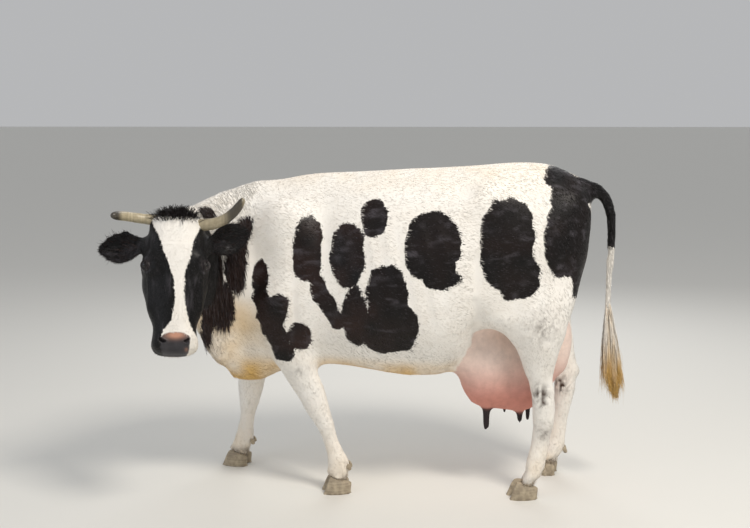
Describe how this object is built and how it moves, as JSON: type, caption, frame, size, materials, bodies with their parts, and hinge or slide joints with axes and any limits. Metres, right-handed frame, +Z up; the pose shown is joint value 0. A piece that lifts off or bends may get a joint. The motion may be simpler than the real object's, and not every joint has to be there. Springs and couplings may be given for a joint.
{
  "type": "cow",
  "caption": "Life-size standing horned dairy cow with piebald hide, full udder and head turned to its left.",
  "frame": {"origin": "middle of the whole cow's plan box, on the ground under its soles", "axes": "+Z up; +X from the shoulders to the tail, so the cow faces -X; its left side faces -Y"},
  "size_m": [2.2267, 0.9969, 1.4557],
  "materials": {
    "white_hair": "short warm white coat",
    "black_hair": "short black coat",
    "udder_skin": "bare pink skin with sparse hair",
    "teat_skin": "dark bare skin",
    "horn_sheath": "polished grey-olive horn",
    "claw_horn": "dull weathered hoof horn",
    "eye": "wet dark eye",
    "switch_hair": "long yellow-stained tail hair"
  },
  "bodies": {
    "root": {"foreleg_left_upper": "white_hair", "foreleg_left_lower": "white_hair", "foreleg_right_upper": "white_hair", "foreleg_right_lower": "white_hair", "hindleg_left_upper": "white_hair", "hindleg_left_lower": "white_hair", "hindleg_right_upper": "white_hair", "hindleg_right_lower": "white_hair", "claw_outer_foreleg_left": "claw_horn", "dewclaw_outer_foreleg_left": "claw_horn", "claw_inner_foreleg_left": "claw_horn", "dewclaw_inner_foreleg_left": "claw_horn", "claw_outer_foreleg_right": "claw_horn", "dewclaw_outer_foreleg_right": "claw_horn", "claw_inner_foreleg_right": "claw_horn", "dewclaw_inner_foreleg_right": "claw_horn", "claw_outer_hindleg_left": "claw_horn", "dewclaw_outer_hindleg_left": "claw_horn", "claw_inner_hindleg_left": "claw_horn", "dewclaw_inner_hindleg_left": "claw_horn", "claw_outer_hindleg_right": "claw_horn", "dewclaw_outer_hindleg_right": "claw_horn", "claw_inner_hindleg_right": "claw_horn", "dewclaw_inner_hindleg_right": "claw_horn", "trunk": "white_hair", "neck": "white_hair", "udder": "udder_skin", "teat_front_left": "teat_skin", "teat_front_right": "teat_skin", "teat_rear_left": "teat_skin", "teat_rear_right": "teat_skin", "tail_dock": "black_hair", "tail_middle": "white_hair", "tail_switch": "switch_hair", "horn_left": "horn_sheath", "eye_left": "eye", "horn_right": "horn_sheath", "eye_right": "eye", "head": "black_hair", "ear_right": "black_hair", "ear_left": "black_hair"}
  },
  "joints": []
}
